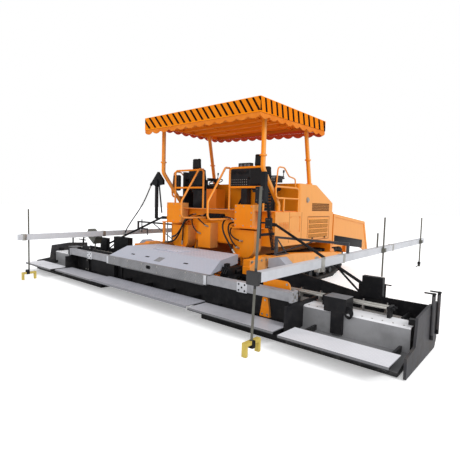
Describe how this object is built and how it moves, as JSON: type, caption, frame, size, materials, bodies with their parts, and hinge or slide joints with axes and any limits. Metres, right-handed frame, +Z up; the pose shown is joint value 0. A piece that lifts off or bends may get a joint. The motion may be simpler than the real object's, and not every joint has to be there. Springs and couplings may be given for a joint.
{
  "type": "asphalt paver",
  "caption": "Crawler asphalt paver with hopper, driver's platform under a striped canopy, augers, wide extended screed and averaging beams",
  "frame": {"origin": "middle of the overall box, on the ground under the tracks", "axes": "+X to the machine's right, along the screed; +Y forward, towards the hopper; +Z up"},
  "size_m": [9.0706, 8.2, 3.7],
  "materials": {
    "beam_alloy": "extruded, dull",
    "black_paint": "satin black enamel",
    "cast_block": "painted casting",
    "checker_plate": "raised-pattern plate",
    "dark_panel": "grained black plastic",
    "hose_rubber": "satin black hose",
    "orange_paint": "gloss enamel, lightly worn",
    "running_gear": "dusty dark cast steel",
    "seat_cover": "black vinyl",
    "track_shoes": "dusty black rubber-padded steel",
    "valance_cloth": "coated orange cloth",
    "worn_steel": "worn bare steel",
    "yellow_paint": "satin yellow enamel"
  },
  "bodies": {
    "tractor": {"auger_hanger": "black_paint", "auger_tunnel_left": "black_paint", "auger_tunnel_right": "black_paint", "body": "orange_paint", "cable_left": "hose_rubber", "canopy_posts": "orange_paint", "canopy_roof": "orange_paint", "canopy_valance": "valance_cloth", "chassis": "orange_paint", "control_desk": "dark_panel", "conveyor": "worn_steel", "deck": "checker_plate", "engine": "cast_block", "hood": "orange_paint", "hose_left_drop": "hose_rubber", "hose_left_long": "hose_rubber", "hose_right_long": "hose_rubber", "hose_right_loop": "hose_rubber", "masts": "black_paint", "push_beam": "orange_paint", "rear_boxes": "orange_paint", "rear_panels": "orange_paint", "rear_rails": "orange_paint", "seat_left": "seat_cover", "seat_right": "seat_cover", "side_rails": "orange_paint", "track_frame_left": "running_gear", "track_frame_right": "running_gear", "track_left": "track_shoes", "track_right": "track_shoes"},
    "screed": {"centre_walkway": "checker_plate", "screed_beam": "beam_alloy", "screed_core": "black_paint", "screed_cover": "checker_plate", "ski_beams": "beam_alloy", "ski_feet": "yellow_paint", "ski_frames": "beam_alloy", "ski_rods": "black_paint", "tow_arms": "orange_paint"},
    "extension_right": {"bolt_on_box_right": "black_paint", "end_gate_right": "black_paint", "ext_lever_right": "orange_paint", "ext_screed_right": "black_paint", "ext_walkway_right": "checker_plate", "side_controls_right": "black_paint"},
    "wing_right": {"hopper_wing_right": "orange_paint"},
    "auger_right": {"auger_right": "worn_steel"},
    "roller_right": {"push_roller_right": "worn_steel"},
    "door_right": {"hood_door_right": "orange_paint"},
    "extension_left": {"bolt_on_box_left": "black_paint", "end_gate_left": "black_paint", "ext_lever_left": "orange_paint", "ext_screed_left": "black_paint", "ext_walkway_left": "checker_plate", "side_controls_left": "black_paint"},
    "wing_left": {"hopper_wing_left": "orange_paint"},
    "auger_left": {"auger_left": "worn_steel"},
    "roller_left": {"push_roller_left": "worn_steel"},
    "door_left": {"hood_door_left": "orange_paint"}
  },
  "joints": [
    {"name": "screed_lift", "type": "hinge", "parent": "tractor", "child": "screed", "pos_m": [0, 1.5, 0.58], "axis": [-1, 0, 0], "range_deg": [0, 5]},
    {"name": "extension_slide_right", "type": "slide", "parent": "screed", "child": "extension_right", "axis": [1, 0, 0], "range_m": [-0.25, 0]},
    {"name": "wing_fold_right", "type": "hinge", "parent": "tractor", "child": "wing_right", "pos_m": [0.692, 2.4, 0.835], "axis": [0, -1, 0], "range_deg": [0, 45]},
    {"name": "auger_spin_right", "type": "hinge", "parent": "tractor", "child": "auger_right", "pos_m": [2, -2.02, 0.345], "axis": [1, 0, 0], "continuous": true},
    {"name": "roller_spin_right", "type": "hinge", "parent": "tractor", "child": "roller_right", "pos_m": [0.4, 4.005, 0.54], "axis": [1, 0, 0], "continuous": true},
    {"name": "door_lift_right", "type": "hinge", "parent": "tractor", "child": "door_right", "pos_m": [1.506, 0.65, 1.576], "axis": [0, -1, 0], "range_deg": [0, 85]},
    {"name": "extension_slide_left", "type": "slide", "parent": "screed", "child": "extension_left", "axis": [-1, 0, 0], "range_m": [-0.25, 0]},
    {"name": "wing_fold_left", "type": "hinge", "parent": "tractor", "child": "wing_left", "pos_m": [-0.692, 2.4, 0.835], "axis": [0, 1, 0], "range_deg": [0, 45]},
    {"name": "auger_spin_left", "type": "hinge", "parent": "tractor", "child": "auger_left", "pos_m": [-2, -2.02, 0.345], "axis": [-1, 0, 0], "continuous": true},
    {"name": "roller_spin_left", "type": "hinge", "parent": "tractor", "child": "roller_left", "pos_m": [-0.4, 4.005, 0.54], "axis": [1, 0, 0], "continuous": true},
    {"name": "door_lift_left", "type": "hinge", "parent": "tractor", "child": "door_left", "pos_m": [-1.506, 0.65, 1.576], "axis": [0, 1, 0], "range_deg": [0, 85]}
  ]
}
